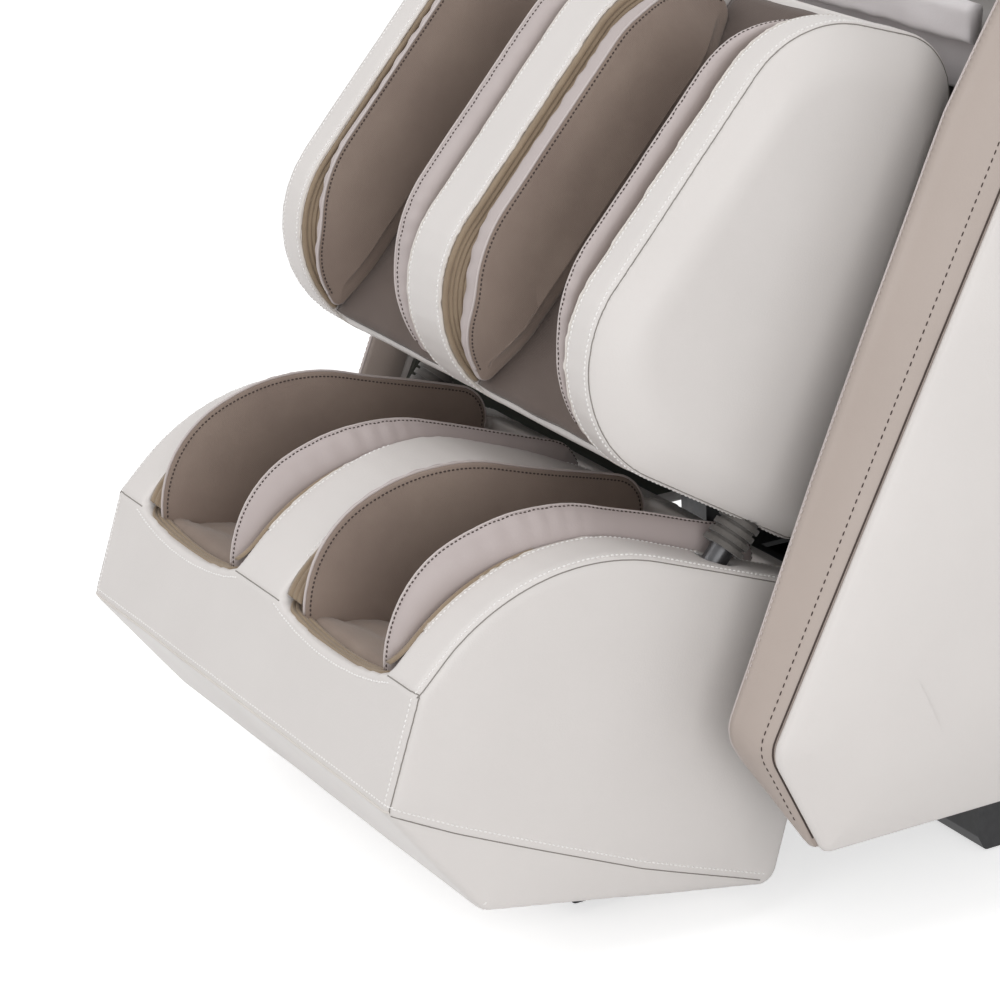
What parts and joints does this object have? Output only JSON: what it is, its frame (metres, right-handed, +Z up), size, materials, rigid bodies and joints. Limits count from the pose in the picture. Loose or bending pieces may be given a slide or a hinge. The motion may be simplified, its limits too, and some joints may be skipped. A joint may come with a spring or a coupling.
{
  "type": "massage chair",
  "caption": "Reclining massage chair with a lifting leg rest, calf channels and foot wells, arm troughs and a roller carriage in its back.",
  "frame": {"origin": "middle of the chair's bounding box, on the floor", "axes": "+Z up, the sitter faces -Y, +X is on the sitter's left hand"},
  "size_m": [0.744, 1.3789, 1.1902],
  "materials": {
    "white_leather": "soft grain, satin",
    "taupe_leather": "soft grain, satin",
    "mauve_leather": "soft grain, satin",
    "grey_leather": "soft grain, satin",
    "brown_fabric": "fine woven, matt",
    "sole_fabric": "fine woven, matt",
    "liner_fabric": "woven, matt",
    "black_steel": "powder coated, satin",
    "bare_steel": "ground",
    "black_plastic": "fine texture",
    "grey_plastic": "fine texture",
    "roller_plastic": "smooth, matt",
    "button_plastic": "gloss",
    "rubber": "matt"
  },
  "bodies": {
    "chair": {"base_frame": "black_steel", "base_cover": "black_plastic", "floor_pads": "rubber", "left_side_cover": "white_leather", "right_side_cover": "white_leather", "left_front_band": "taupe_leather", "right_front_band": "taupe_leather", "left_inner_liner": "liner_fabric", "right_inner_liner": "liner_fabric", "left_arm_trough": "grey_leather", "right_arm_trough": "grey_leather", "left_arm_pad": "brown_fabric", "right_arm_pad": "brown_fabric", "rear_cover": "black_plastic", "power_inlet": "black_plastic", "air_pump": "grey_plastic", "keypad": "black_plastic", "seat_frame": "black_steel", "seat_cushion": "grey_leather", "seat_apron": "white_leather", "leg_actuator": "grey_plastic", "back_actuator": "grey_plastic"},
    "leg_rest": {"calf_frame": "black_steel", "calf_shell": "white_leather", "calf_linings": "brown_fabric", "slide_boots": "rubber", "left_calf_outer_leaf": "mauve_leather", "left_calf_inner_leaf": "brown_fabric", "right_calf_inner_leaf": "brown_fabric", "right_calf_outer_leaf": "mauve_leather"},
    "foot_unit": {"foot_frame": "bare_steel", "foot_shell": "white_leather", "foot_soles": "sole_fabric", "foot_glides": "rubber", "left_foot_outer_leaf": "mauve_leather", "left_foot_inner_leaf": "brown_fabric", "right_foot_inner_leaf": "brown_fabric", "right_foot_outer_leaf": "mauve_leather"},
    "left_sole_roller_set": {"left_sole_rollers": "roller_plastic"},
    "right_sole_roller_set": {"right_sole_rollers": "roller_plastic"},
    "backrest": {"back_frame": "black_steel", "back_shell": "white_leather", "back_pad": "brown_fabric", "head_pillow": "taupe_leather", "left_shoulder_wing": "white_leather", "right_shoulder_wing": "white_leather"},
    "carriage": {"roller_carriage": "bare_steel"},
    "left_arm": {"left_massage_arm": "bare_steel"},
    "right_arm": {"right_massage_arm": "bare_steel"},
    "left_top_roller": {"left_upper_roller": "roller_plastic"},
    "left_bottom_roller": {"left_lower_roller": "roller_plastic"},
    "right_top_roller": {"right_upper_roller": "roller_plastic"},
    "right_bottom_roller": {"right_lower_roller": "roller_plastic"},
    "leg_rod": {"leg_actuator_rod": "bare_steel"},
    "back_rod": {"back_actuator_rod": "bare_steel"},
    "left_wheel": {"left_transport_wheel": "grey_plastic"},
    "right_wheel": {"right_transport_wheel": "grey_plastic"},
    "rocker": {"power_switch": "grey_plastic"},
    "button_up": {"keypad_button_up": "button_plastic"},
    "button_down": {"keypad_button_down": "button_plastic"}
  },
  "joints": [
    {"name": "leg_swing", "type": "hinge", "parent": "chair", "child": "leg_rest", "pos_m": [0, -0.26742, 0.53995], "axis": [-1, 0, 0], "range_deg": [0, 50]},
    {"name": "foot_slide", "type": "slide", "parent": "leg_rest", "child": "foot_unit", "axis": [0, -0.6691, -0.7431], "range_m": [0, 0.12]},
    {"name": "left_sole_roll", "type": "hinge", "parent": "foot_unit", "child": "left_sole_roller_set", "pos_m": [-0.118, -0.512, 0.093], "axis": [1, 0, 0], "continuous": true},
    {"name": "right_sole_roll", "type": "hinge", "parent": "foot_unit", "child": "right_sole_roller_set", "pos_m": [0.118, -0.512, 0.093], "axis": [1, 0, 0], "continuous": true},
    {"name": "back_recline", "type": "hinge", "parent": "chair", "child": "backrest", "pos_m": [0, 0.3, 0.43], "axis": [-1, 0, 0], "range_deg": [0, 50]},
    {"name": "carriage_travel", "type": "slide", "parent": "backrest", "child": "carriage", "axis": [0, 0.342, 0.9397], "range_m": [0, 0.43]},
    {"name": "left_arm_rock", "type": "hinge", "parent": "carriage", "child": "left_arm", "pos_m": [-0.054, 0.36173, 0.59376], "axis": [1, 0, 0], "range_deg": [-6, 6]},
    {"name": "right_arm_rock", "type": "hinge", "parent": "carriage", "child": "right_arm", "pos_m": [0.054, 0.36173, 0.59376], "axis": [1, 0, 0], "range_deg": [-6, 6]},
    {"name": "left_upper_roll", "type": "hinge", "parent": "left_arm", "child": "left_top_roller", "pos_m": [-0.076, 0.36039, 0.66023], "axis": [1, 0, 0], "continuous": true},
    {"name": "left_lower_roll", "type": "hinge", "parent": "left_arm", "child": "left_bottom_roller", "pos_m": [-0.076, 0.31798, 0.54371], "axis": [1, 0, 0], "continuous": true},
    {"name": "right_upper_roll", "type": "hinge", "parent": "right_arm", "child": "right_top_roller", "pos_m": [0.076, 0.36039, 0.66023], "axis": [1, 0, 0], "continuous": true},
    {"name": "right_lower_roll", "type": "hinge", "parent": "right_arm", "child": "right_bottom_roller", "pos_m": [0.076, 0.31798, 0.54371], "axis": [1, 0, 0], "continuous": true},
    {"name": "leg_rod_slide", "type": "slide", "parent": "chair", "child": "leg_rod", "axis": [0, -1, 0], "range_m": [0, 0.1306]},
    {"name": "back_rod_slide", "type": "slide", "parent": "chair", "child": "back_rod", "axis": [0, -1, 0], "range_m": [0, 0.0887]},
    {"name": "left_wheel_roll", "type": "hinge", "parent": "chair", "child": "left_wheel", "pos_m": [-0.218, 0.368, 0.036], "axis": [1, 0, 0], "continuous": true},
    {"name": "right_wheel_roll", "type": "hinge", "parent": "chair", "child": "right_wheel", "pos_m": [0.218, 0.368, 0.036], "axis": [1, 0, 0], "continuous": true},
    {"name": "power_rocker", "type": "hinge", "parent": "chair", "child": "rocker", "pos_m": [0.152, 0.368, 0.156], "axis": [-1, 0, 0], "range_deg": [0, 16]},
    {"name": "button_up_press", "type": "slide", "parent": "chair", "child": "button_up", "axis": [0, 0, -1], "range_m": [0, 0.0015], "stiffness_N_per_m": 300, "springref_m": -0.001},
    {"name": "button_down_press", "type": "slide", "parent": "chair", "child": "button_down", "axis": [0, 0, -1], "range_m": [0, 0.0015], "stiffness_N_per_m": 300, "springref_m": -0.001}
  ],
  "couplings": [
    {"joint": "foot_slide", "follows": "leg_swing", "m_per_rad": 0.1375},
    {"joint": "leg_rod_slide", "follows": "leg_swing", "m_per_rad": 0.14962},
    {"joint": "back_rod_slide", "follows": "back_recline", "m_per_rad": 0.10153}
  ]
}
